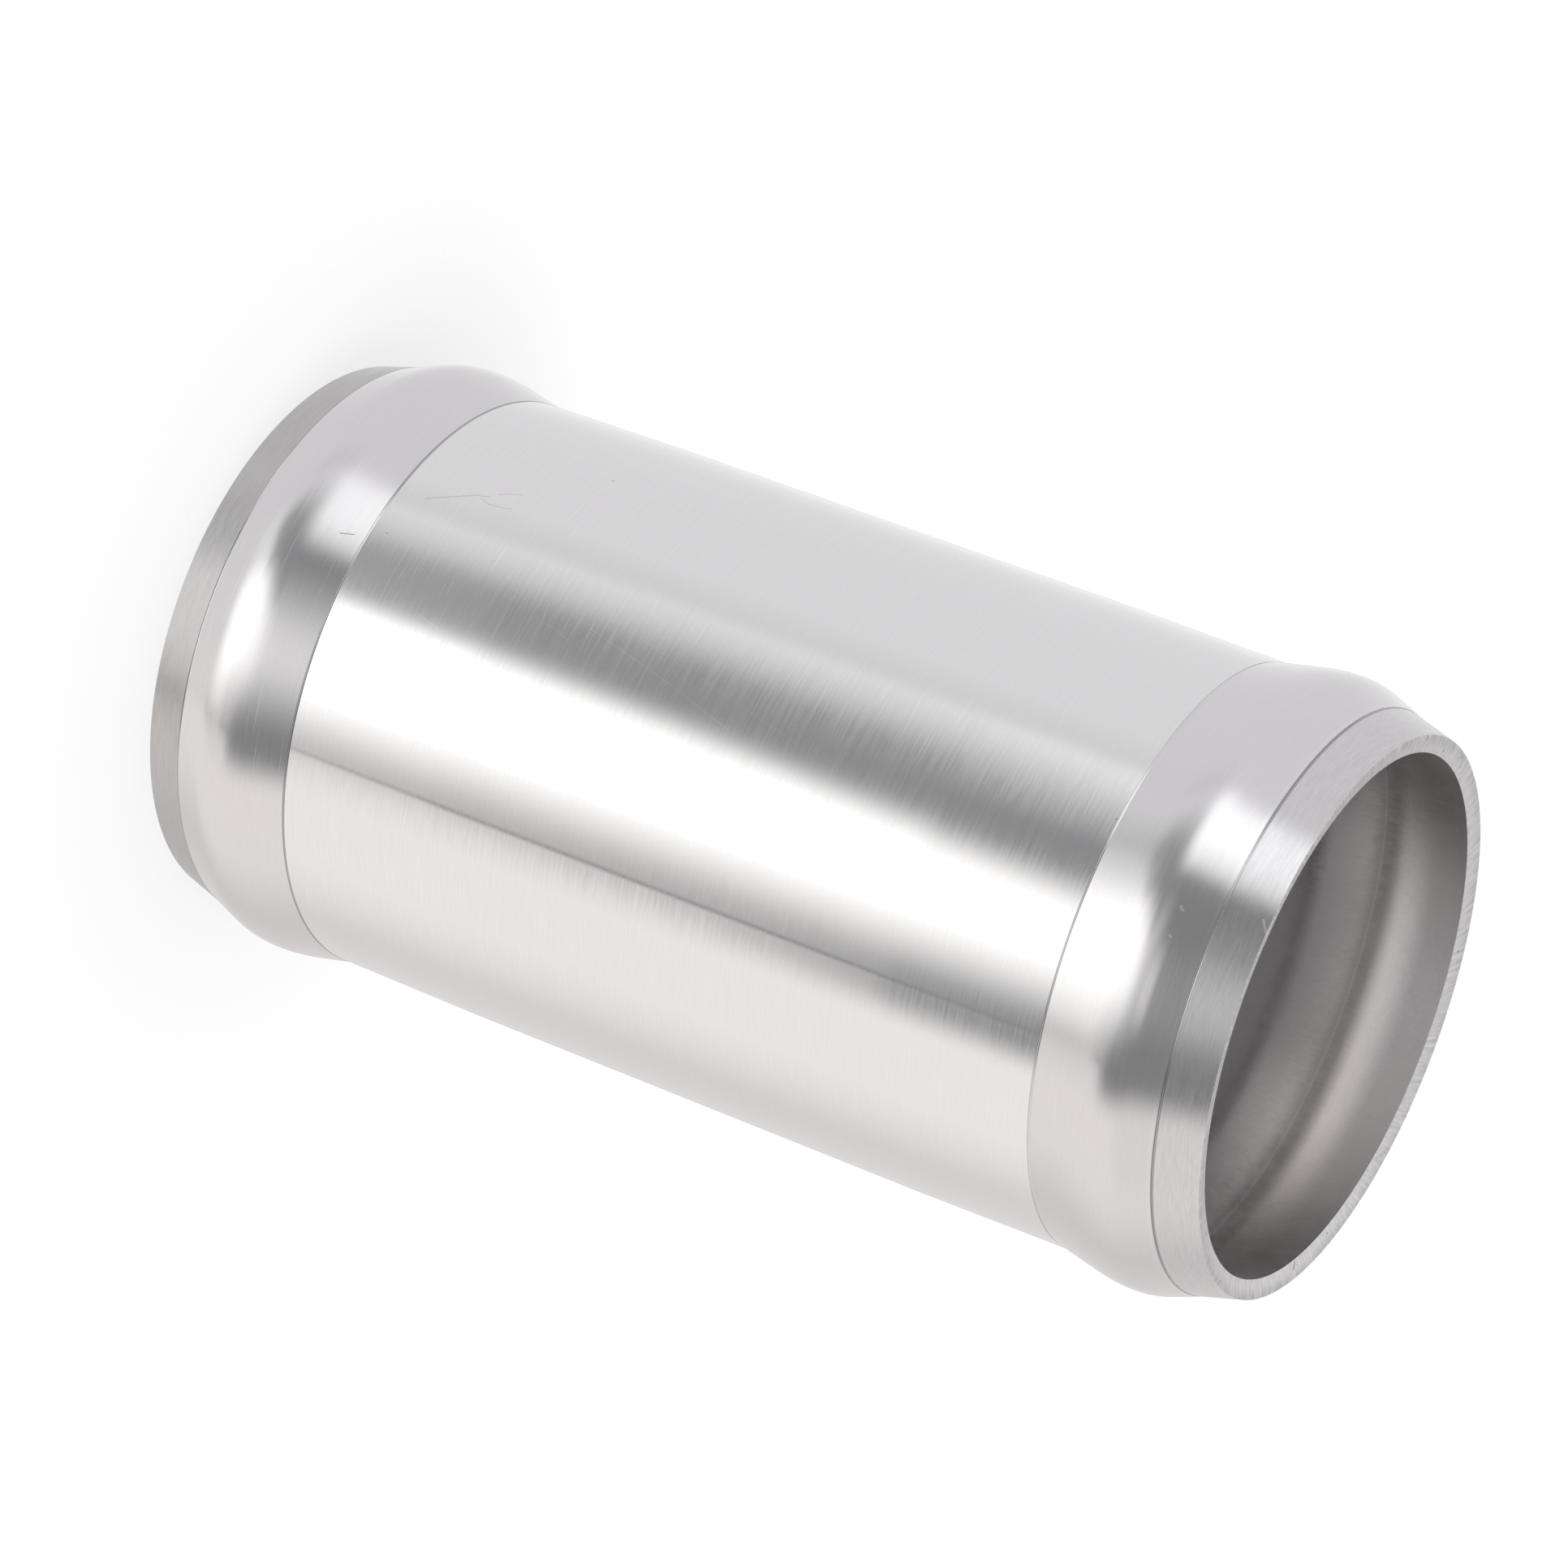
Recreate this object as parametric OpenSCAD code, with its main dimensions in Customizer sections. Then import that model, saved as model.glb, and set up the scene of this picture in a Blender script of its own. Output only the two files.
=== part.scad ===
// Straight joiner pipe for the air hoses of a charge cooler: one piece of aluminium
// tube, with a bead rolled near each end and a short lip rolled in from bead to end.
// The wall keeps one thickness all the way, so inside each bead there is a groove.
// The pipe stands on one end. The origin is at the middle of that end, with +Z up.
// Lengths are in millimetres and angles in degrees.

/* [Tube] */
// Outside diameter of the plain tube
tube_od = 50.8; // [38:0.1:102]
// Thickness of the wall
tube_wall = 1.65; // [1:0.05:2.5]
// Length from end to end
tube_length = 100; // [60:1:400]

/* [Bead] */
// Height of the crown above the plain tube
bead_height = 0.9; // [0.5:0.05:1.4]
// Distance of the crown from the end of the tube
crown_from_end = 8.2; // [7.7:0.1:9]
// Distance of the bead's root, on its hose side, from the end of the tube
root_from_end = 14.5; // [13.8:0.1:18]
// Radius of the crown on its lip side
crown_arc_lip = 6; // [4:0.25:7]
// Radius of the crown on its hose side
crown_arc_hose = 12; // [8:0.5:16]

/* [Lip] */
// Length of the lip, from the end of the tube to the bead's root on its lip side
lip_length = 3.6; // [2:0.1:4]
// How far the lip's root lies inside the plain tube's surface
lip_inset = 0.45; // [0.1:0.05:0.8]
// Angle by which the lip leans in
lip_taper = 16; // [5:0.5:22]
// Width of the flat dressed on the outer edge of each end
end_land = 0.35; // [0.2:0.05:0.8]

/* [Rolling] */
// How much the tube was drawn in at the bead's root, on its hose side
draw_in = 0.17; // [0.05:0.01:0.35]
// Length over which the tube comes back to its full diameter
draw_length = 14; // [8:1:20]
// Half the width of the line that the roller's shoulder left at each root
roller_mark = 0.1; // [0.05:0.01:0.2]

/* [Hidden] */
$fn = 180;
// Overlap of a bead's straight flank with its round crown
weld = 0.0002;
// How far the outlines run past the ends, before the ends are trimmed
overrun = 1;

tube_r = tube_od / 2;
crown_r = tube_r + bead_height;

// Corners of the outer surface near one end, as [radius, distance from the end]
lip_end = [tube_r - lip_inset - lip_length * tan(lip_taper), 0];
lip_root = [tube_r - lip_inset, lip_length];
hose_root = [tube_r - draw_in, root_from_end];
draw_end = [tube_r, root_from_end + draw_length];

// The crown is two arcs that meet at its top, and the flanks run off them straight
lip_centre = [crown_r - crown_arc_lip, crown_from_end];
hose_centre = [crown_r - crown_arc_hose, crown_from_end];
lip_flank = touch(lip_root, lip_centre, crown_arc_lip, -1);
hose_flank = touch(hose_root, hose_centre, crown_arc_hose, 1);

// Directions straight into the wall, across each straight stretch
lip_across = across(lip_end, lip_root);
lip_flank_across = across(lip_root, lip_flank);
hose_flank_across = across(hose_flank, hose_root);
draw_across = across(hose_root, draw_end);
tube_across = [-1, 0];

// Where the line from a point touches a circle, on the side that turn picks
function touch(point, centre, r, turn) =
    let (
        to_centre = centre - point,
        reach = sqrt(to_centre * to_centre - r * r),
        angle = atan2(to_centre[1], to_centre[0]) + turn * asin(r / norm(to_centre)),
        touching = point + reach * [cos(angle), sin(angle)]
    )
    touching + weld * (centre - touching) / r;

// Unit vector square to the line from a to b, pointing to the tube's axis
function across(a, b) = [a[1] - b[1], b[0] - a[0]] / norm(b - a);

// A corner between two straight stretches, moved by depth into the wall
function sunk(corner, before, after, depth) =
    corner + depth * (before + after) / (1 + before * after);

// Corners of one end's outline at some depth in the wall, from the mouth inwards
function end_points(depth, past) =
    let (mouth = lip_end + depth * lip_across - past * [lip_across[1], -lip_across[0]])
    [
        [0, mouth[1]],
        mouth,
        sunk(lip_root, lip_across, lip_flank_across, depth),
        lip_flank + depth * lip_flank_across,
        hose_flank + depth * hose_flank_across,
        sunk(hose_root, hose_flank_across, draw_across, depth),
        sunk(draw_end, draw_across, tube_across, depth)
    ];

// The same corners at the other end of the tube, in the opposite order
function other_end(points) =
    [for (i = [len(points) - 1 : -1 : 0]) [points[i][0], tube_length - points[i][1]]];

module both_ends() {
    children();
    translate([0, tube_length]) mirror([0, 1]) children();
}

// The round top of a bead at some depth in the wall, down to where the tube is solid
module crown(depth) {
    intersection() {
        translate([tube_r / 2, 0]) square([tube_r, root_from_end]);
        union() {
            translate(lip_centre) circle(r = crown_arc_lip - depth);
            intersection() {
                translate(hose_centre) circle(r = crown_arc_hose - depth);
                translate([0, crown_from_end]) square([crown_r, crown_arc_hose]);
            }
        }
    }
}

// All that lies within the tube's surface, or within its bore at the wall's depth
module outline(depth, past) {
    points = end_points(depth, past);
    polygon(concat(points, other_end(points)));
    both_ends() crown(depth);
}

// What the trimming of an end takes off: the end was cut square before the lip was
// rolled in, so its face leans with the lip, down to the flat on its outer edge
module end_trim() {
    land_r = lip_end[0] - end_land;
    core_r = land_r - 2 * tube_wall;
    polygon([
        [tube_r, -2 * overrun],
        [tube_r, 0],
        [land_r, 0],
        [core_r, (land_r - core_r) * tan(lip_taper)],
        [core_r, -2 * overrun]
    ]);
}

// The fine lines that the roller left at both roots of a bead
module roller_marks() {
    translate(lip_root) circle(r = roller_mark);
    translate(hose_root) circle(r = roller_mark);
}

module pipe() {
    color("silver")
    rotate_extrude()
    difference() {
        outline(0, overrun);
        outline(tube_wall, 2 * overrun);
        both_ends() end_trim();
        both_ends() roller_marks();
    }
}

pipe();
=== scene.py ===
import math

import bmesh
import bpy
from mathutils import Matrix, Vector


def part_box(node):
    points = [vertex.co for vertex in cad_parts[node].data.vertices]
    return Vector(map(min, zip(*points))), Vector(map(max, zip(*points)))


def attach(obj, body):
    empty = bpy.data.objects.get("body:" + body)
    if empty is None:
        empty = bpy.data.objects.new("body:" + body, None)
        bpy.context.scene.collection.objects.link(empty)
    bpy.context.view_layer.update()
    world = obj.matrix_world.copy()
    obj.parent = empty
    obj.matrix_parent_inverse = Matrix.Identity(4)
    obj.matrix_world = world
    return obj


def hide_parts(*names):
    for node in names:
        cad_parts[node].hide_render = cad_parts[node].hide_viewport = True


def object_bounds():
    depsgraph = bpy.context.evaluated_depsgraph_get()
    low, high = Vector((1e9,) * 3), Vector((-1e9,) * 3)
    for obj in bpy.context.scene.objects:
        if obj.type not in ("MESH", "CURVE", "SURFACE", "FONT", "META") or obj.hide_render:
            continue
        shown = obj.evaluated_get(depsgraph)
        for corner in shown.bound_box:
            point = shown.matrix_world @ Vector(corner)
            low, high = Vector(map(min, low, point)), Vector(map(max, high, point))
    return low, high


# A beaded joiner pipe for charge air hoses: bright turned aluminium tube in a white light tent.
# The pipe stands on Z = 0. Sizes are in metres, written as millimetres times mm.
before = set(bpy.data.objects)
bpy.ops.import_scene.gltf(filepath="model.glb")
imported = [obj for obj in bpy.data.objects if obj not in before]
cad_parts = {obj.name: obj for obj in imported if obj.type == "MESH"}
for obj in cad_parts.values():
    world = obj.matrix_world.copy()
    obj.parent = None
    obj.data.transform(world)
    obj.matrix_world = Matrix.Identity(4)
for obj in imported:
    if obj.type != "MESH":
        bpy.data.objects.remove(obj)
cadLow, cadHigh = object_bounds()
pipeLow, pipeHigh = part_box("pipe")
mm = 0.001
upAxis = Vector((0, 0, 1))

pipeSizes = {
    "wall": 1.65 * mm,
    "beadHeight": 0.9 * mm,
    "crownFromEnd": 8.2 * mm,
    "rootFromEnd": 14.5 * mm,
    "crownArcLip": 6 * mm,
    "crownArcHose": 12 * mm,
    "lipLength": 3.6 * mm,
    "lipInset": 0.45 * mm,
    "lipTaper": math.radians(16),
    "endLand": 0.35 * mm,
    "drawIn": 0.17 * mm,
    "drawLength": 14 * mm,
    "rollerMark": 0.1 * mm,
    "lineStep": 1.2 * mm,       # spacing of the rings along a straight stretch
    "arcStep": math.radians(2.5),
    "markStep": math.radians(36),
    "spinSteps": 360,
    "creaseAngle": math.radians(25),
    "mergeDistance": 0.001 * mm,
    "rimUpright": 0.8,          # a cut end's normal points at least this much up or down
}


def touch(point, centre, radius, turn):
    # where the line from a point touches a circle, on the side that turn picks
    toCentre = centre - point
    reach = math.sqrt(toCentre.length_squared - radius ** 2)
    angle = math.atan2(toCentre.y, toCentre.x) + turn * math.asin(radius / toCentre.length)
    return point + reach * Vector((math.cos(angle), math.sin(angle)))


def across(start, end):
    # unit vector square to the line, pointing to the pipe's axis
    return Vector((start.y - end.y, end.x - start.x)).normalized()


def sunk(corner, before, after, depth):
    # a corner between two straight stretches, moved into the wall
    return corner + depth * (before + after) / (1 + before.dot(after))


def inPlane(point):
    # (radius, height) of the outline becomes a place in the XZ plane
    return Vector((point.x, 0, point.y))


def lineTo(bm, pen, point):
    start = pen.co.copy()
    end = inPlane(point)
    steps = max(1, math.ceil((end - start).length / pipeSizes["lineStep"]))
    for i in range(steps):
        pen = bmesh.ops.extrude_vert_indiv(bm, verts=[pen])["verts"][0]
        pen.co = start.lerp(end, (i + 1) / steps)
    return pen


def arcTo(bm, pen, centre, point, turn, stepAngle):
    # turn 1 dips into the wall and -1 bulges out of it, on a line that runs up the outside
    hub = inPlane(centre)
    start = pen.co - hub
    end = inPlane(point) - hub
    angle = math.atan2(start.cross(end).y, start.dot(end)) * turn % math.tau * turn
    steps = max(2, math.ceil(abs(angle) / stepAngle))
    spun = bmesh.ops.spin(
        bm, geom=[pen], cent=hub, axis=(0, 1, 0), angle=angle, steps=steps,
        use_merge=False, use_duplicate=False,
    )
    return [g for g in spun["geom_last"] if isinstance(g, bmesh.types.BMVert)][0]


def drawOutline(bm, half, tubeRadius):
    # the wall's outline from one mouth to the middle of the pipe, outside and then inside
    s = pipeSizes
    crownRadius = tubeRadius + s["beadHeight"]
    lipRootRadius = tubeRadius - s["lipInset"]
    lipEnd = Vector((lipRootRadius - s["lipLength"] * math.tan(s["lipTaper"]), 0))
    lipRoot = Vector((lipRootRadius, s["lipLength"]))
    hoseRoot = Vector((tubeRadius - s["drawIn"], s["rootFromEnd"]))
    drawEnd = Vector((tubeRadius, s["rootFromEnd"] + s["drawLength"]))
    middle = Vector((tubeRadius, half))
    lipCentre = Vector((crownRadius - s["crownArcLip"], s["crownFromEnd"]))
    hoseCentre = Vector((crownRadius - s["crownArcHose"], s["crownFromEnd"]))
    crown = Vector((crownRadius, s["crownFromEnd"]))
    lipFlank = touch(lipRoot, lipCentre, s["crownArcLip"], -1)
    hoseFlank = touch(hoseRoot, hoseCentre, s["crownArcHose"], 1)
    inLip = across(lipEnd, lipRoot)
    inLipFlank = across(lipRoot, lipFlank)
    inHoseFlank = across(hoseFlank, hoseRoot)
    inDraw = across(hoseRoot, drawEnd)
    inTube = Vector((-1, 0))
    landEdge = lipEnd - Vector((s["endLand"], 0))
    mouthEdge = landEdge + (s["wall"] - s["endLand"] * math.cos(s["lipTaper"])) * inLip

    def markAt(pen, root, following):
        # the round line that the roller's shoulder left at a root
        before = Vector((pen.co.x, pen.co.z))
        pen = lineTo(bm, pen, root + s["rollerMark"] * (before - root).normalized())
        leave = root + s["rollerMark"] * (following - root).normalized()
        return arcTo(bm, pen, root, leave, 1, s["markStep"])

    mouth = bm.verts.new(inPlane(mouthEdge))
    pen = lineTo(bm, mouth, landEdge)
    pen = lineTo(bm, pen, lipEnd)
    pen = markAt(pen, lipRoot, lipFlank)
    pen = lineTo(bm, pen, lipFlank)
    pen = arcTo(bm, pen, lipCentre, crown, -1, s["arcStep"])
    pen = arcTo(bm, pen, hoseCentre, hoseFlank, -1, s["arcStep"])
    pen = markAt(pen, hoseRoot, drawEnd)
    pen = lineTo(bm, pen, drawEnd)
    lineTo(bm, pen, middle)

    wall = s["wall"]
    pen = lineTo(bm, mouth, sunk(lipRoot, inLip, inLipFlank, wall))
    pen = lineTo(bm, pen, lipFlank + wall * inLipFlank)
    pen = arcTo(bm, pen, lipCentre, crown + wall * inTube, -1, s["arcStep"])
    pen = arcTo(bm, pen, hoseCentre, hoseFlank + wall * inHoseFlank, -1, s["arcStep"])
    pen = lineTo(bm, pen, sunk(hoseRoot, inHoseFlank, inDraw, wall))
    pen = lineTo(bm, pen, sunk(drawEnd, inDraw, inTube, wall))
    lineTo(bm, pen, middle + wall * inTube)


def finishOf(face, length):
    # a face's finish follows from where it is and which way it looks
    centre = face.calc_center_median()
    fromEnd = min(centre.z, length - centre.z)
    if abs(face.normal.z) > pipeSizes["rimUpright"] and fromEnd < pipeSizes["lipLength"] / 2:
        return "rim"
    if face.normal.x * centre.x + face.normal.y * centre.y < 0:
        return "bore"
    if fromEnd < pipeSizes["lipLength"]:
        return "lip"
    return "bead" if fromEnd < pipeSizes["rootFromEnd"] else "tube"


def buildPipe(materials):
    length = pipeHigh.z - pipeLow.z
    crownRadius = min(pipeHigh.x - pipeLow.x, pipeHigh.y - pipeLow.y) / 2
    tubeRadius = crownRadius - pipeSizes["beadHeight"]
    bm = bmesh.new()
    drawOutline(bm, length / 2, tubeRadius)
    bmesh.ops.spin(
        bm, geom=bm.verts[:] + bm.edges[:], cent=(0, 0, 0), axis=upAxis, angle=math.tau,
        steps=pipeSizes["spinSteps"], use_merge=True, use_duplicate=False,
    )
    # the mirror's plane is Z = 0, so the half pipe goes there and back
    bmesh.ops.translate(bm, verts=bm.verts[:], vec=-length / 2 * upAxis)
    bmesh.ops.mirror(
        bm, geom=bm.verts[:] + bm.edges[:] + bm.faces[:],
        matrix=Matrix.Identity(4), merge_dist=pipeSizes["mergeDistance"], axis="Z",
    )
    bmesh.ops.translate(bm, verts=bm.verts[:], vec=length / 2 * upAxis)
    bmesh.ops.remove_doubles(bm, verts=bm.verts[:], dist=pipeSizes["mergeDistance"])
    bmesh.ops.recalc_face_normals(bm, faces=bm.faces[:])
    finishes = list(materials)
    for face in bm.faces:
        face.smooth = True
        face.material_index = finishes.index(finishOf(face, length))
    for edge in bm.edges:
        edge.smooth = edge.calc_face_angle(0) < pipeSizes["creaseAngle"]
    mesh = bpy.data.meshes.new("beadedPipe")
    bm.to_mesh(mesh)
    bm.free()
    for material in materials.values():
        mesh.materials.append(material)
    pipe = bpy.data.objects.new("beaded_pipe", mesh)
    bpy.context.scene.collection.objects.link(pipe)
    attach(pipe, "root")
    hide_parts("pipe")
    print("pipe:", len(mesh.vertices), "vertices,", len(mesh.polygons), "faces")


def fill(tree, socket, value):
    # an input is linked to another node's output or set to a plain value
    if isinstance(value, bpy.types.NodeSocket):
        tree.links.new(value, socket)
    else:
        socket.default_value = value


def addNode(tree, kind, settings=None, **inputs):
    # a node with its settings; i0, i1 and so on name its inputs by number
    node = tree.nodes.new("ShaderNode" + kind)
    for name, value in (settings or {}).items():
        setattr(node, name, value)
    for name, value in inputs.items():
        key = int(name[1:]) if name[1:].isdigit() else name.replace("_", " ")
        fill(tree, node.inputs[key], value)
    return node


def maths(tree, operation, first, second=0.0):
    node = addNode(tree, "Math", {"operation": operation}, i0=first, i1=second)
    return node.outputs[0]


def smoothBetween(tree, value, low, high, toLow=0.0, toHigh=1.0):
    node = addNode(
        tree, "MapRange", {"interpolation_type": "SMOOTHSTEP"},
        Value=value, From_Min=low, From_Max=high, To_Min=toLow, To_Max=toHigh,
    )
    return node.outputs["Result"]


def stretch(tree, value, low, high, toLow=0.0, toHigh=1.0):
    node = addNode(tree, "MapRange", Value=value, From_Min=low, From_Max=high, To_Min=toLow, To_Max=toHigh)
    return node.outputs["Result"]


def mixColours(tree, factor, first, second):
    # inputs 6 and 7 and output 2 are the node's colour sockets
    node = addNode(tree, "Mix", {"data_type": "RGBA"}, i0=factor, i6=first, i7=second)
    return node.outputs[2]


def newMaterial(name):
    material = bpy.data.materials.new(name)
    material.use_nodes = True
    tree = material.node_tree
    shader = tree.nodes["Principled BSDF"]
    shader.inputs["Metallic"].default_value = 1
    return material, tree, shader


def axesOf(tree):
    return addNode(tree, "SeparateXYZ", Vector=addNode(tree, "TexCoord").outputs["Object"]).outputs


def lineNoise(tree, aroundScale, alongScale, detail=3.0, roughness=0.6):
    # noise drawn out into lines: round the pipe where alongScale is the larger, else along it
    place = addNode(tree, "TexCoord").outputs["Object"]
    scaled = addNode(tree, "Mapping", Vector=place, Scale=(aroundScale, aroundScale, alongScale))
    noise = addNode(
        tree, "TexNoise", Vector=scaled.outputs[0], Scale=1.0, Detail=detail, Roughness=roughness,
    )
    return noise.outputs[0]


def radialTangent(tree, shader):
    # the finish is drawn round the pipe, so it blurs reflections along the pipe
    quarterTurn = 0.25
    tangent = addNode(tree, "Tangent", {"direction_type": "RADIAL", "axis": "Z"})
    tree.links.new(tangent.outputs[0], shader.inputs["Tangent"])
    shader.inputs["Anisotropic Rotation"].default_value = quarterTurn


# Where a mark starts and stops fading out from its middle, as shares of its width (ring, scratch) or of
# half its arc (spare).
softEdges = {
    "ring": (0.25, 0.75),
    "scratch": (0.2, 0.7),
    "spare": (0.7, 1.3),
}


def ringMask(tree, height, place, width):
    # a ring round the pipe at one height, soft at its edges
    inner, outer = softEdges["ring"]
    away = maths(tree, "ABSOLUTE", maths(tree, "SUBTRACT", height, place))
    return smoothBetween(tree, away, width * inner, width * outer, 1.0, 0.0)


def turnOf(tree, axes):
    # the angle round from the camera's side towards +X
    return maths(tree, "ARCTAN2", axes[0], maths(tree, "MULTIPLY", axes[1], -1.0))


# Rings of painted shade in the creases at the roots, a painted highlight beside the near lip's root, and a
# darkening of the far lip. "spare" is an arc where a ring is left out, as its middle and half its width in
# degrees round from the camera's side towards +X.
paintedRings = {
    # painted shade in the crease at the far bead's root
    "far root": {
        "height": 14.5 * mm, "width": 0.2 * mm, "strength": 0.5,
        "tone": (0.22, 0.22, 0.23, 1), "spare": (-14, 14),
    },
    # painted shade in the crease at the near lip's root
    "near lip": {
        "height": 96.38 * mm, "width": 0.22 * mm, "strength": 0.7,
        "tone": (0.3, 0.3, 0.31, 1), "spare": (-3, 22),
    },
    # a painted highlight beside the near lip's root
    "near lip shine": {
        "height": 96.1 * mm, "width": 0.25 * mm, "strength": 0.1,
        "tone": (0.92, 0.92, 0.92, 1),
    },
    # faint painted shade in the crease at the near bead's root
    "near root": {
        "height": 85.5 * mm, "width": 0.3 * mm, "strength": 0.12,
        "tone": (0.3, 0.3, 0.3, 1), "spare": (-14, 26),
    },
    # the far lip darker, at the end that stands on the floor
    "far lip darkening": {
        "height": 1.7 * mm, "width": 5.4 * mm, "strength": 0.44,
        "tone": (0.35, 0.34, 0.335, 1),
    },
}

# Handling marks, the white ones painted lighter as glints: points as (height in mm, degrees round from the
# camera's side towards +X).
handlingMarksAndGlints = {
    "long scratch": {
        "path": ((17.1, -32.5), (19.4, -35.3), (21.0, -37.3)),
        "width": 0.13 * mm, "strength": 0.5, "tone": (0.42, 0.42, 0.43, 1),
    },
    "scratch branch": {
        "path": ((21.0, -37.3), (21.6, -37.5), (22.0, -38.0)),
        "width": 0.13 * mm, "strength": 0.35, "tone": (0.42, 0.42, 0.43, 1),
    },
    "scratch tail": {
        "path": ((22.5, -39.0), (23.0, -39.8), (24.3, -40.9)),
        "width": 0.15 * mm, "strength": 0.3, "tone": (0.45, 0.45, 0.46, 1),
    },
    "scratch fork": {
        "path": ((21.4, -36.8), (22.4, -36.1), (23.4, -36.3), (24.4, -36.8)),
        "width": 0.15 * mm, "strength": 0.32, "tone": (0.45, 0.45, 0.46, 1),
    },
    "upper speck": {
        "path": ((29.6, -53.2), (29.7, -53.2)),
        "width": 0.26 * mm, "strength": 0.5, "tone": (0.4, 0.4, 0.4, 1),
    },
    "root speck": {
        "path": ((15.9, -22.8), (16.0, -22.8)),
        "width": 0.18 * mm, "strength": 0.35, "tone": (0.35, 0.35, 0.35, 1),
    },
    "bead nick": {
        "path": ((12.4, -19.2), (13.5, -20.1)),
        "width": 0.11 * mm, "strength": 0.7, "tone": (0.2, 0.2, 0.2, 1),
    },
    # painted glints on two specks of the near bead
    "bead speck": {
        "path": ((93.55, -8.3), (93.75, -7.9)),
        "width": 0.28 * mm, "strength": 0.9, "tone": (1, 1, 1, 1),
    },
    "small speck": {
        "path": ((93.6, -3.1), (93.7, -2.9)),
        "width": 0.2 * mm, "strength": 0.8, "tone": (1, 1, 1, 1),
    },
    "near speck": {
        "path": ((85.2, -19.4), (85.25, -19.4)),
        "width": 0.2 * mm, "strength": 0.5, "tone": (0.35, 0.35, 0.35, 1),
    },
    # a burr at the mouth and rubs and hairlines on the tube, painted lighter as glints
    "lip burr": {
        "path": ((99.4, -12.0), (100.0, -10.0)),
        "width": 0.2 * mm, "strength": 0.9, "tone": (1, 1, 1, 1),
    },
    "rub": {
        "path": ((37.0, -18.7), (44.0, -15.0), (52.0, -10.0)),
        "width": 0.09 * mm, "strength": 0.45, "tone": (1, 1, 1, 1),
    },
    "second rub": {
        "path": ((40.0, -21.0), (58.0, -12.0)),
        "width": 0.07 * mm, "strength": 0.22, "tone": (1, 1, 1, 1),
    },
    "band hairline": {
        "path": ((32.8, -16.8), (34.3, -16.2), (35.7, -15.2)),
        "width": 0.08 * mm, "strength": 0.4, "tone": (1, 1, 1, 1),
    },
    "band stroke": {
        "path": ((32.5, -20.5), (32.7, -17.2)),
        "width": 0.1 * mm, "strength": 0.25, "tone": (1, 1, 1, 1),
    },
    "edge hairline": {
        "path": ((22.1, -10.2), (24.5, -8.8)),
        "width": 0.07 * mm, "strength": 0.4, "tone": (1, 1, 1, 1),
    },
}


def segmentMask(tree, place, start, end, width):
    # how much a place on a flat sheet is covered by a straight scratch
    inner, outer = softEdges["scratch"]
    run = end - start
    offset = addNode(tree, "VectorMath", {"operation": "SUBTRACT"}, i0=place, i1=start).outputs[0]
    share = run / run.length_squared
    along = addNode(tree, "VectorMath", {"operation": "DOT_PRODUCT"}, i0=offset, i1=share).outputs["Value"]
    along = addNode(tree, "Clamp", Value=along).outputs[0]
    nearest = addNode(tree, "VectorMath", {"operation": "SCALE"}, i0=run, Scale=along).outputs[0]
    away = addNode(tree, "VectorMath", {"operation": "DISTANCE"}, i0=offset, i1=nearest).outputs["Value"]
    return smoothBetween(tree, away, width * inner, width * outer, 1.0, 0.0)


def addMarks(tree, colour, axes, low, high):
    # painted shade and highlight rings, the far lip's darkening, and scratches and specks, the light ones
    # with a painted glint, whose heights lie between low and high, laid over a colour
    angle = turnOf(tree, axes)
    inner, outer = softEdges["spare"]
    for ring in paintedRings.values():
        if not low <= ring["height"] <= high:
            continue
        mask = ringMask(tree, axes[2], ring["height"], ring["width"])
        mask = maths(tree, "MULTIPLY", mask, ring["strength"])
        if "spare" in ring:
            middle, half = (math.radians(turn) for turn in ring["spare"])
            away = maths(tree, "ABSOLUTE", maths(tree, "SUBTRACT", angle, middle))
            mask = maths(tree, "MULTIPLY", mask, smoothBetween(tree, away, half * inner, half * outer))
        colour = mixColours(tree, mask, colour, ring["tone"])
    # scratches and specks, the light ones with a painted glint, are drawn on the wall as if it were
    # unrolled at the tube's radius
    radius = (pipeHigh.x - pipeLow.x) / 2 - pipeSizes["beadHeight"]
    place = addNode(tree, "CombineXYZ", X=maths(tree, "MULTIPLY", angle, radius), Y=axes[2]).outputs[0]
    for mark in handlingMarksAndGlints.values():
        points = [Vector((radius * math.radians(turn), height * mm, 0)) for height, turn in mark["path"]]
        if not low <= points[0].y <= high:
            continue
        for start, end in zip(points, points[1:]):
            mask = segmentMask(tree, place, start, end, mark["width"])
            mask = maths(tree, "MULTIPLY", mask, mark["strength"])
            colour = mixColours(tree, mask, colour, mark["tone"])
    return colour


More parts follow.
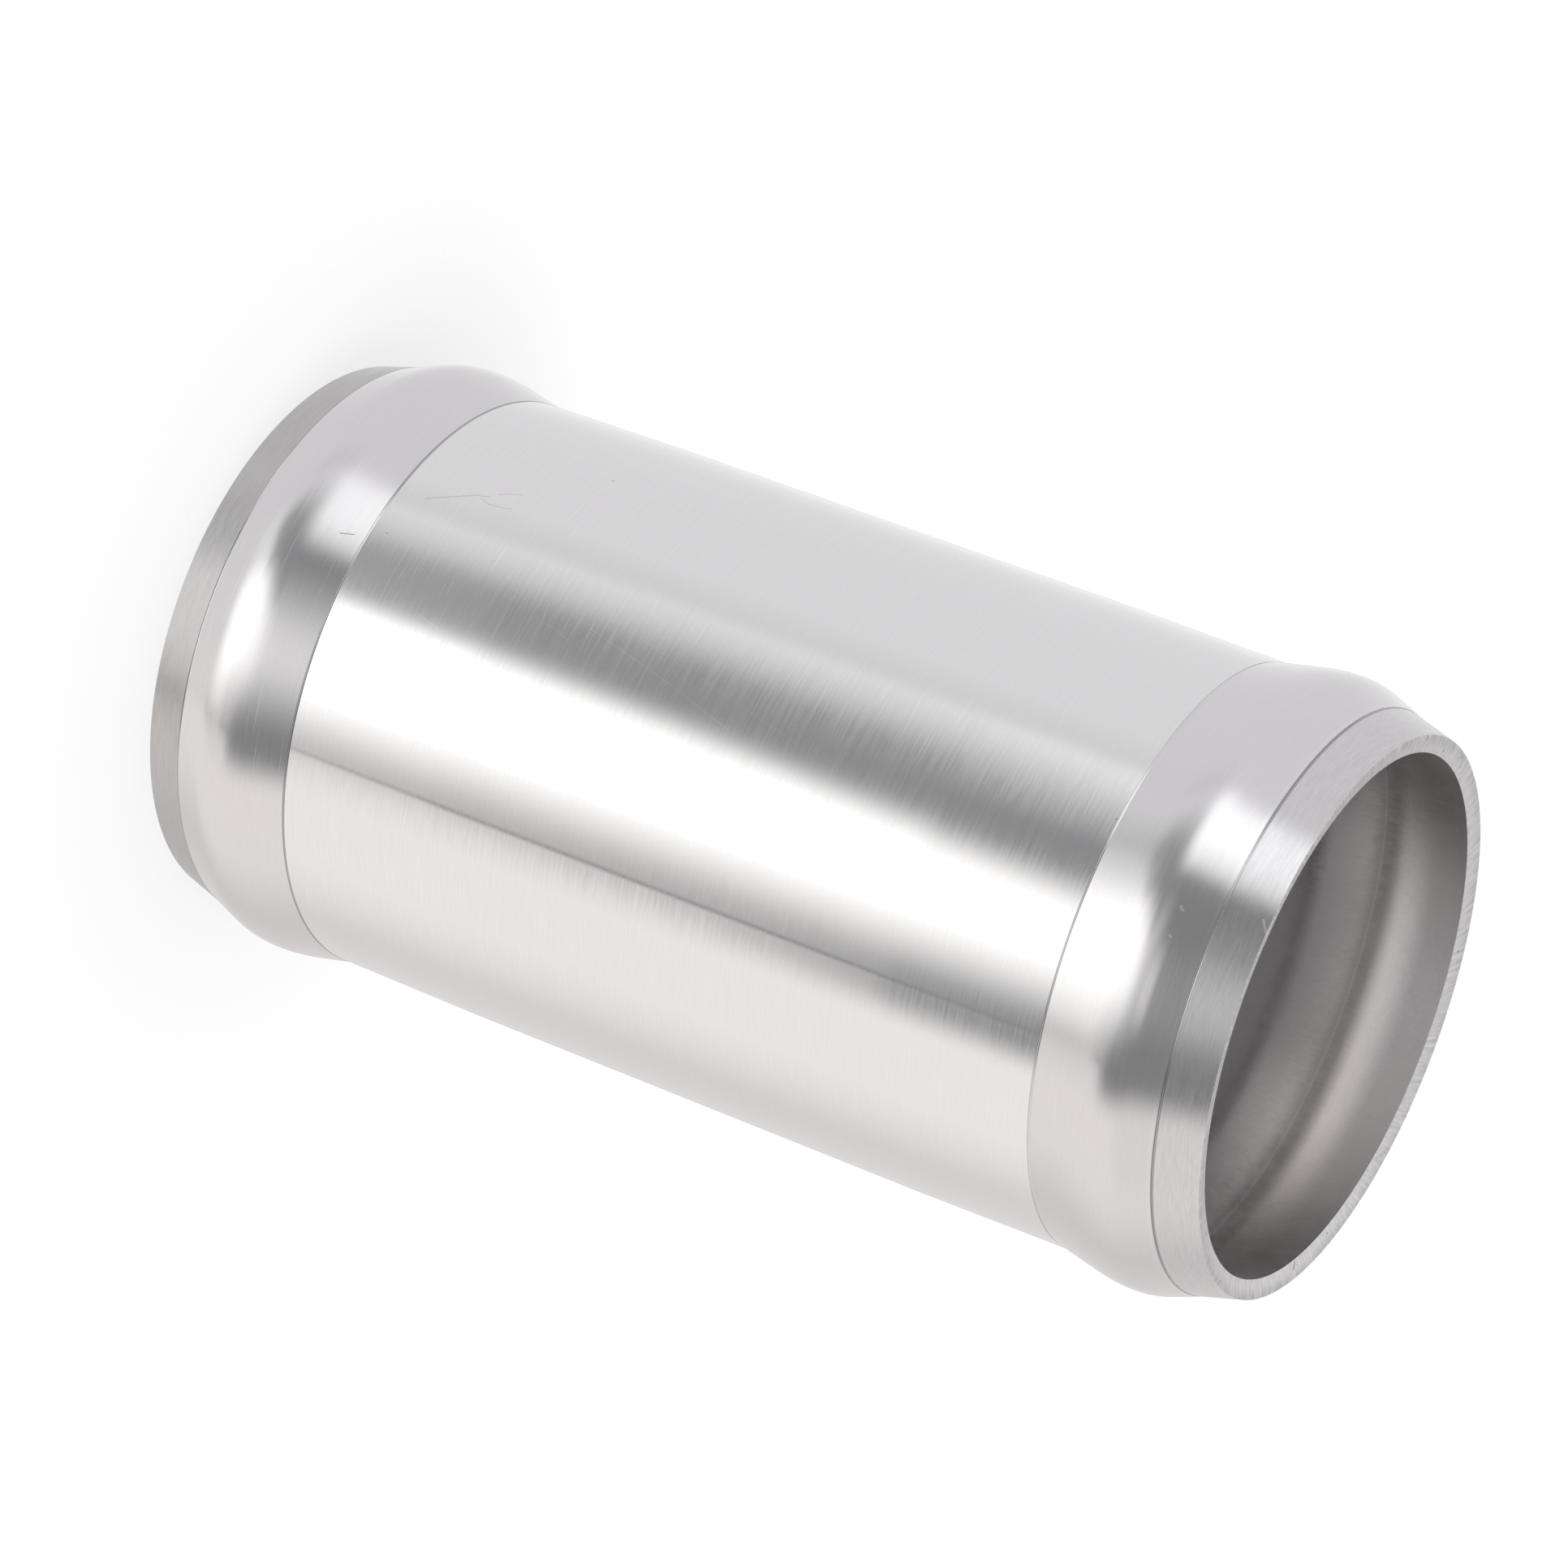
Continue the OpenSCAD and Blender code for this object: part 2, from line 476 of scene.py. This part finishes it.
# Turned skins of the outside. "lines" is how finely the turning lines run, round the pipe and along it,
# and "deepLines" the same for a few deeper ones. "scratches" is how strong the deeper ones are, "glint"
# how far they turn to their own tone, and "from" and "to" the heights between which the skin has marks.
turnedSkins = {
    "tube": {
        "dark": (0.775, 0.77, 0.772, 1), "light": (0.805, 0.8, 0.803, 1), "lines": (220, 5200),
        "roughness": (0.07, 0.14), "anisotropy": 1.0, "scratches": 0.34, "glint": 1.2,
        "deepLines": (230, 11000), "from": 14.5 * mm, "to": 85.5 * mm,
    },
    "bead": {
        "dark": (0.69, 0.68, 0.687, 1), "light": (0.712, 0.702, 0.709, 1), "lines": (200, 4600),
        "roughness": (0.15, 0.2), "anisotropy": 0.5, "scratches": 0.7, "glint": 0.1,
        "deepLines": (100, 7800), "from": 3.6 * mm, "to": 96.4 * mm,
    },
    "lip": {
        "dark": (0.62, 0.612, 0.62, 1), "light": (0.69, 0.682, 0.69, 1), "lines": (420, 3000),
        "roughness": (0.21, 0.28), "anisotropy": 1.0, "scratches": 0.5, "glint": 0.2,
        "deepLines": (210, 5100), "from": -1.0 * mm, "to": 101.0 * mm,
    },
}


turnedLines = {
    "spread": (0.3, 0.7),       # the stretch of the noise that the tones and the roughness follow
    "fineAround": 1.5,          # how much finer the tone's lines are than the roughness's
    "fineAlong": 2.5,
    "deepFrom": 0.66,           # noise above this begins a deeper line
    "deepFull": 0.74,
    "wornFrom": 20 * mm,        # the deeper lines fade between these heights
    "wornTo": 60 * mm,
    "wornShare": 0.15,
    "deepRoughness": 0.16,
    "deepTone": (0.93, 0.93, 0.93, 1),
    "cloud": (60, 60),
    "cloudSpread": (0.35, 0.65),
    "cloudStrength": 0.06,
}


def turnedAluminium(name):
    skin = turnedSkins[name]
    t = turnedLines
    material, tree, shader = newMaterial(name + "Skin")
    axes = axesOf(tree)
    around, along = skin["lines"]
    lines = lineNoise(tree, around, along)
    fineLines = lineNoise(tree, around * t["fineAround"], along * t["fineAlong"], detail=2.0)
    rough = stretch(tree, lines, *t["spread"], *skin["roughness"])
    # a few deeper lines scatter more light, most of them near the end that the pipe stands on
    deepLines = lineNoise(tree, *skin["deepLines"], detail=1.0)
    deep = smoothBetween(tree, deepLines, t["deepFrom"], t["deepFull"])
    strength = skin["scratches"]
    worn = smoothBetween(tree, axes[2], t["wornFrom"], t["wornTo"], strength, strength * t["wornShare"])
    deep = maths(tree, "MULTIPLY", deep, worn)
    rough = maths(tree, "ADD", rough, maths(tree, "MULTIPLY", deep, t["deepRoughness"]))
    tree.links.new(rough, shader.inputs["Roughness"])
    colour = mixColours(tree, stretch(tree, fineLines, *t["spread"]), skin["dark"], skin["light"])
    cloud = lineNoise(tree, *t["cloud"], detail=2.0)
    cloud = stretch(tree, cloud, *t["cloudSpread"], 0.0, t["cloudStrength"])
    colour = mixColours(tree, cloud, colour, skin["dark"])
    colour = mixColours(tree, maths(tree, "MULTIPLY", deep, skin["glint"]), colour, t["deepTone"])
    colour = addMarks(tree, colour, axes, skin["from"], skin["to"])
    tree.links.new(colour, shader.inputs["Base Color"])
    shader.inputs["Anisotropic"].default_value = skin["anisotropy"]
    radialTangent(tree, shader)
    print("finish:", material.name)
    return material


# Noise scales are per radian round the rim and per metre across it.
sawnFinish = {
    "dark": (0.66, 0.652, 0.66, 1),
    "light": (0.94, 0.93, 0.94, 1),
    "nick": (0.35, 0.34, 0.35, 1),
    "roughness": (0.42, 0.52),
    "spread": (0.3, 0.7),
    "strokesAround": 70.0,
    "strokesSkew": 900.0,       # how far the strokes lean as they cross the wall
    "strokesAcross": 350.0,
    "pitsAround": 0.6,          # against the strokes
    "pitsAcross": 1500.0,
    "pitsFrom": 0.70,           # noise above this begins a pit
    "pitsFull": 0.76,
    "pitsStrength": 0.7,
    "bumpStrength": 0.25,
    "bumpDepth": 0.03 * mm,
}

# Marks in the cut ends: points as (radius in mm, degrees round from the camera's side towards +X).
rimMarks = {
    "nick": {"path": ((22.6, 117.6), (23.0, 116.8)), "width": 0.24 * mm, "strength": 0.9},
    "dent": {"path": ((22.7, 153.8), (23.3, 156.6)), "width": 0.3 * mm, "strength": 0.3},
}


def sawnRim():
    # the cut end: saw and file lines run across the wall, with a few darker pits and the marks above
    s = sawnFinish
    material, tree, shader = newMaterial("sawnRim")
    axes = axesOf(tree)
    angle = maths(tree, "ARCTAN2", axes[0], axes[1])
    flat = addNode(tree, "CombineXYZ", X=axes[0], Y=axes[1])
    radius = addNode(tree, "VectorMath", {"operation": "LENGTH"}, i0=flat.outputs[0]).outputs["Value"]
    around = maths(tree, "MULTIPLY", angle, s["strokesAround"])
    around = maths(tree, "ADD", around, maths(tree, "MULTIPLY", radius, s["strokesSkew"]))
    strokes = addNode(tree, "CombineXYZ", X=around, Y=maths(tree, "MULTIPLY", radius, s["strokesAcross"]))
    lines = addNode(tree, "TexNoise", Vector=strokes.outputs[0], Scale=1.0, Detail=3.0, Roughness=0.65)
    lines = lines.outputs[0]
    colour = mixColours(tree, stretch(tree, lines, *s["spread"]), s["dark"], s["light"])
    pitsAround = maths(tree, "MULTIPLY", around, s["pitsAround"])
    pitsAcross = maths(tree, "MULTIPLY", radius, s["pitsAcross"])
    pits = addNode(tree, "CombineXYZ", X=pitsAround, Y=pitsAcross)
    sparse = addNode(tree, "TexNoise", Vector=pits.outputs[0], Scale=1.0, Detail=1.0).outputs[0]
    pitted = smoothBetween(tree, sparse, s["pitsFrom"], s["pitsFull"], 0.0, s["pitsStrength"])
    colour = mixColours(tree, pitted, colour, s["nick"])
    for mark in rimMarks.values():
        start, end = (
            Vector((math.sin(math.radians(turn)), -math.cos(math.radians(turn)), 0)) * reach * mm
            for reach, turn in mark["path"]
        )
        mask = segmentMask(tree, flat.outputs[0], start, end, mark["width"])
        mask = maths(tree, "MULTIPLY", mask, mark["strength"])
        colour = mixColours(tree, mask, colour, s["nick"])
    tree.links.new(colour, shader.inputs["Base Color"])
    tree.links.new(stretch(tree, lines, *s["spread"], *s["roughness"]), shader.inputs["Roughness"])
    bump = addNode(tree, "Bump", Height=lines, Strength=s["bumpStrength"], Distance=s["bumpDepth"])
    tree.links.new(bump.outputs[0], shader.inputs["Normal"])
    print("finish:", material.name)
    return material


# The finish inside. "mouthTurn" and "creaseTurn" are the angles from the camera's side, in radians, between
# which the mouth's shade and the crease's shine come up.
boreFinish = {
    "dark": (0.82, 0.803, 0.798, 1),
    "light": (0.92, 0.903, 0.898, 1),
    "roughness": (0.3, 0.42),
    "lines": (4800, 900),
    "linesShare": 0.7,
    "mottle": (700, 350),
    "mottleShare": 0.3,
    "spread": (0.36, 0.64),
    "shadeTone": (0.39, 0.385, 0.41, 1),
    "shadeHeight": 80.5 * mm,
    "shadeWidth": 14.0 * mm,
    "shadeStrength": 0.65,
    "mouthHeight": 98.5 * mm,
    "mouthWidth": 6.5 * mm,
    "mouthTurn": (2.0, 2.8),
    "mouthStrength": (0.0, 0.5),
    "creaseTone": (1, 1, 1, 1),
    "creaseHeight": 91.0 * mm,
    "creaseWidth": 0.22 * mm,
    "creaseTurn": (1.2, 2.4),
    "creaseStrength": (0.15, 0.8),
    "bumpStrength": 0.2,
    "bumpDepth": 0.02 * mm,
}


def drawnBore():
    # the inside stays as drawn: short fine lines along the pipe on a mottled grey, with painted shade and a
    # painted highlight
    b = boreFinish
    material, tree, shader = newMaterial("drawnBore")
    lines = lineNoise(tree, *b["lines"])
    mottle = lineNoise(tree, *b["mottle"])
    both = maths(tree, "MULTIPLY", lines, b["linesShare"])
    both = maths(tree, "ADD", both, maths(tree, "MULTIPLY", mottle, b["mottleShare"]))
    colour = mixColours(tree, stretch(tree, both, *b["spread"]), b["dark"], b["light"])
    axes = axesOf(tree)
    # painted shade deeper inside the bore
    shade = ringMask(tree, axes[2], b["shadeHeight"], b["shadeWidth"])
    colour = mixColours(tree, maths(tree, "MULTIPLY", shade, b["shadeStrength"]), colour, b["shadeTone"])
    # the painted shade at the mouth and the painted highlight on the crease show most round the back
    away = maths(tree, "ABSOLUTE", turnOf(tree, axes))
    mouth = ringMask(tree, axes[2], b["mouthHeight"], b["mouthWidth"])
    shown = smoothBetween(tree, away, *b["mouthTurn"], *b["mouthStrength"])
    colour = mixColours(tree, maths(tree, "MULTIPLY", mouth, shown), colour, b["shadeTone"])
    crease = ringMask(tree, axes[2], b["creaseHeight"], b["creaseWidth"])
    shown = smoothBetween(tree, away, *b["creaseTurn"], *b["creaseStrength"])
    colour = mixColours(tree, maths(tree, "MULTIPLY", crease, shown), colour, b["creaseTone"])
    tree.links.new(colour, shader.inputs["Base Color"])
    tree.links.new(stretch(tree, both, *b["spread"], *b["roughness"]), shader.inputs["Roughness"])
    bump = addNode(tree, "Bump", Height=lines, Strength=b["bumpStrength"], Distance=b["bumpDepth"])
    tree.links.new(bump.outputs[0], shader.inputs["Normal"])
    print("finish:", material.name)
    return material


tentSizes = {
    "radius": 2.0,
    "segments": 64,
    "rings": 32,
    "paleCloth": (1.0, 1.0, 1.0, 1),
}

# Patches of the tent's cloth as the pipe sees them, in degrees: azimuth from the camera's side towards +X,
# elevation above the horizon, how softly each edge fades (left, right, low, high), and how far the left
# and the right side lean for each degree of elevation, if they do. Later patches cover earlier ones.
tentPatches = {
    "left wall": {
        "azimuth": (-158, -46), "elevation": (-89, 89), "soft": (26, 10, 1, 1),
        "colour": (0.845, 0.835, 0.848, 1),
    },
    "right wall": {
        "azimuth": (102, 178), "elevation": (-89, 89), "soft": (28, 6, 1, 1),
        "colour": (0.80, 0.768, 0.765, 1),
    },
    "back seam": {
        "azimuth": (173, 187), "elevation": (-89, 89), "soft": (4, 4, 1, 1),
        "colour": (0.3, 0.3, 0.3, 1),
    },
    "seam side": {
        "azimuth": (30, 52), "elevation": (-75, -10), "soft": (4, 8, 5, 5),
        "colour": (0.80, 0.78, 0.765, 1),
    },
    "warm side": {
        "azimuth": (52, 102), "elevation": (-89, 89), "soft": (8, 28, 1, 1),
        "colour": (1.03, 0.99, 0.96, 1),
    },
    "upper side": {
        "azimuth": (56, 100), "elevation": (6, 89), "soft": (6, 24, 10, 1),
        "colour": (0.93, 0.905, 0.885, 1),
    },
    "left pleat": {
        "azimuth": (-70, -60), "elevation": (-38, -14), "soft": (7, 3, 4, 4),
        "colour": (0.775, 0.77, 0.78, 1),
    },
    "opening": {
        "azimuth": (-30.5, 55), "elevation": (-22.8, 75), "soft": (5, 7.5, 1.8, 12), "lean": (-0.05, 0),
        "colour": (0.28, 0.28, 0.285, 1),
    },
    "glow": {
        "azimuth": (-11.5, 27), "elevation": (-40, -3.5), "soft": (14, 16, 8, 14.5),
        "colour": (1.3, 1.29, 1.28, 1),
    },
    "lip glow": {
        "azimuth": (1, 26), "elevation": (1, 18), "soft": (10, 10, 8, 3),
        "colour": (0.88, 0.87, 0.865, 1),
    },
    "fold": {
        "azimuth": (18, 44.6), "elevation": (-34, -22.5), "soft": (9, 0.4, 3, 3.5),
        "colour": (0.59, 0.575, 0.568, 1),
    },
    "low cloth": {
        "azimuth": (10, 60), "elevation": (-89, -34), "soft": (10, 8, 1, 6),
        "colour": (0.90, 0.878, 0.86, 1),
    },
    "low fold": {
        "azimuth": (46, 54), "elevation": (-66, -33), "soft": (5, 6, 6, 5), "lean": (-0.6, -0.6),
        "colour": (0.70, 0.68, 0.67, 1),
    },
    "ground": {
        "azimuth": (-62, 34), "elevation": (-89, -64), "soft": (8, 16, 1, 8),
        "colour": (0.84, 0.83, 0.83, 1),
    },
    "low softbox": {
        "azimuth": (-16, 31.5), "elevation": (-58, -20), "soft": (11, 19, 14, 10), "lean": (0, -0.3),
        "colour": (1.65, 1.64, 1.61, 1),
    },
    "gap": {
        "azimuth": (-46, -17.3), "elevation": (-46, -9), "soft": (12.5, 9.5, 12, 8), "lean": (-0.25, 1),
        "colour": (0.313, 0.313, 0.32, 1),
    },
    "gap light": {
        "azimuth": (-40, -18), "elevation": (-34, -28.8), "soft": (8, 6, 2, 0.8),
        "colour": (0.46, 0.455, 0.45, 1),
    },
    "seam": {
        "azimuth": (44.4, 45.8), "elevation": (-31, -8), "soft": (0.5, 0.5, 1.5, 5),
        "colour": (0.3, 0.3, 0.3, 1),
    },
    "side softbox": {
        "azimuth": (-59, -36.3), "elevation": (-13, 44), "soft": (6, 8, 13, 14), "lean": (0, -0.1),
        "colour": (1.52, 1.52, 1.53, 1),
    },
}


def tentCloth():
    material = bpy.data.materials.new("tentCloth")
    material.use_nodes = True
    material.cycles.emission_sampling = "NONE"
    tree = material.node_tree
    tree.nodes.clear()
    place = addNode(tree, "TexCoord").outputs["Object"]
    axes = addNode(tree, "SeparateXYZ", Vector=place).outputs
    length = addNode(tree, "VectorMath", {"operation": "LENGTH"}, i0=place).outputs["Value"]
    azimuth = maths(tree, "DEGREES", turnOf(tree, axes))
    elevation = maths(tree, "DEGREES", maths(tree, "ARCSINE", maths(tree, "DIVIDE", axes[2], length)))
    behind = maths(tree, "MODULO", maths(tree, "ADD", azimuth, 360.0), 360.0)
    colour = tentSizes["paleCloth"]
    for patch in tentPatches.values():
        left, right = patch["azimuth"]
        low, high = patch["elevation"]
        softLeft, softRight, softLow, softHigh = patch["soft"]
        leanLeft, leanRight = patch.get("lean", (0, 0))
        rise = maths(tree, "SUBTRACT", elevation, (low + high) / 2)
        # a patch over the seam behind counts its azimuth from 0 to 360
        turn = behind if right > 180 else azimuth
        fromLeft = maths(tree, "SUBTRACT", turn, maths(tree, "MULTIPLY", rise, leanLeft))
        fromRight = maths(tree, "SUBTRACT", turn, maths(tree, "MULTIPLY", rise, leanRight))
        edges = (
            smoothBetween(tree, fromLeft, left - softLeft, left + softLeft),
            smoothBetween(tree, fromRight, right - softRight, right + softRight, 1.0, 0.0),
            smoothBetween(tree, elevation, low - softLow, low + softLow),
            smoothBetween(tree, elevation, high - softHigh, high + softHigh, 1.0, 0.0),
        )
        mask = edges[0]
        for edge in edges[1:]:
            mask = maths(tree, "MULTIPLY", mask, edge)
        colour = mixColours(tree, mask, colour, patch["colour"])
    glow = addNode(tree, "Emission", Color=colour, Strength=1.0)
    addNode(tree, "OutputMaterial", Surface=glow.outputs[0])
    return material


def buildTent():
    # the tent is far off and shows only in the metal
    bm = bmesh.new()
    bmesh.ops.create_uvsphere(
        bm, u_segments=tentSizes["segments"], v_segments=tentSizes["rings"], radius=tentSizes["radius"],
    )
    for face in bm.faces:
        face.smooth = True
    mesh = bpy.data.meshes.new("lightTent")
    bm.to_mesh(mesh)
    bm.free()
    mesh.materials.append(tentCloth())
    tent = bpy.data.objects.new("lightTent", mesh)
    bpy.context.scene.collection.objects.link(tent)
    tent.location = (cadLow + cadHigh) / 2
    tent.visible_camera = False
    tent.visible_diffuse = False
    tent.visible_transmission = False
    tent.visible_shadow = False
    print("tent:", len(tentPatches), "patches of cloth")


floorSizes = {
    "radius": 46 * mm,
    "solidRadius": 25 * mm,     # the plate fades out from here to its edge
    "segments": 96,
    "colour": (0.92, 0.92, 0.92, 1),
    "whiteness": 0.72,          # how far the camera sees the plate as plain white, over its shadow
}


def buildFloor():
    # a round white plate that takes the pipe's shadow
    bm = bmesh.new()
    bmesh.ops.create_circle(
        bm, cap_ends=True, radius=floorSizes["radius"], segments=floorSizes["segments"],
    )
    mesh = bpy.data.meshes.new("floorPlate")
    bm.to_mesh(mesh)
    bm.free()
    floor = bpy.data.objects.new("floorPlate", mesh)
    bpy.context.scene.collection.objects.link(floor)
    material = bpy.data.materials.new("whitePlate")
    material.use_nodes = True
    tree = material.node_tree
    tree.nodes.clear()
    place = addNode(tree, "TexCoord").outputs["Object"]
    reach = addNode(tree, "VectorMath", {"operation": "LENGTH"}, i0=place).outputs["Value"]
    fade = smoothBetween(tree, reach, floorSizes["solidRadius"], floorSizes["radius"])
    paint = addNode(tree, "BsdfDiffuse", Color=floorSizes["colour"])
    clear = addNode(tree, "BsdfTransparent")
    seen = addNode(tree, "LightPath").outputs["Is Camera Ray"]
    # the camera sees through the plate from below
    under = addNode(tree, "NewGeometry").outputs["Backfacing"]
    fade = maths(tree, "MAXIMUM", fade, maths(tree, "MULTIPLY", under, seen))
    white = addNode(tree, "Emission", Color=(1, 1, 1, 1), Strength=1.0)
    share = maths(tree, "MULTIPLY", seen, floorSizes["whiteness"])
    plate = addNode(tree, "MixShader", i0=share, i1=paint.outputs[0], i2=white.outputs[0])
    mixed = addNode(tree, "MixShader", i0=fade, i1=plate.outputs[0], i2=clear.outputs[0])
    addNode(tree, "OutputMaterial", Surface=mixed.outputs[0])
    mesh.materials.append(material)
    floor.visible_glossy = False
    print("floor: plate of", floorSizes["segments"], "sides")


worldLight = {
    "fill": 0.75,               # strength of the light that falls on things
    "seen": 1.0,                # strength to the camera and in the metal
}


def setWorld():
    world = bpy.data.worlds.new("whiteRoom")
    bpy.context.scene.world = world
    world.use_nodes = True
    tree = world.node_tree
    tree.nodes.clear()
    path = addNode(tree, "LightPath").outputs
    seen = maths(tree, "MAXIMUM", path["Is Camera Ray"], path["Is Glossy Ray"])
    seen = maths(tree, "MAXIMUM", seen, path["Is Transmission Ray"])
    strength = stretch(tree, seen, 0.0, 1.0, worldLight["fill"], worldLight["seen"])
    background = addNode(tree, "Background", Color=(1, 1, 1, 1), Strength=strength)
    addNode(tree, "OutputWorld", Surface=background.outputs[0])
    print("world: white room")


lampSizes = {
    "place": (0.35, -0.45, 0.9),
    "size": 0.6,
    "power": 4.0,
}


def addLamp():
    data = bpy.data.lights.new("softLamp", "AREA")
    data.size = lampSizes["size"]
    data.energy = lampSizes["power"]
    lamp = bpy.data.objects.new("softLamp", data)
    bpy.context.scene.collection.objects.link(lamp)
    lamp.location = lampSizes["place"]
    lamp.rotation_euler = Vector(lampSizes["place"]).to_track_quat("Z", "Y").to_euler()
    lamp.visible_glossy = False
    print("lamp:", lampSizes["power"], "watts")


cameraSizes = {
    "lens": 149.83,
    "sensor": 36.0,
    "place": (-1.9131 * mm, -493.6571 * mm, 273.2541 * mm),
    "lookDown": math.radians(24.647),
    "roll": math.radians(110.494),
    "clipStart": 0.01,
    "clipEnd": 10,
}


def addCamera():
    data = bpy.data.cameras.new("camera")
    data.lens = cameraSizes["lens"]
    data.sensor_width = cameraSizes["sensor"]
    data.clip_start = cameraSizes["clipStart"]
    data.clip_end = cameraSizes["clipEnd"]
    camera = bpy.data.objects.new("camera", data)
    bpy.context.scene.collection.objects.link(camera)
    camera.rotation_euler = (math.pi / 2 - cameraSizes["lookDown"], 0, 0)
    camera.rotation_euler.rotate_axis("Z", cameraSizes["roll"])
    camera.location = cameraSizes["place"]
    bpy.context.scene.camera = camera
    print("camera:", cameraSizes["lens"], "mm lens")


addCamera()
setWorld()
buildTent()
buildFloor()
addLamp()
buildPipe({
    "tube": turnedAluminium("tube"),
    "bead": turnedAluminium("bead"),
    "lip": turnedAluminium("lip"),
    "rim": sawnRim(),
    "bore": drawnBore(),
})
bpy.context.scene.view_settings.view_transform = "Standard"
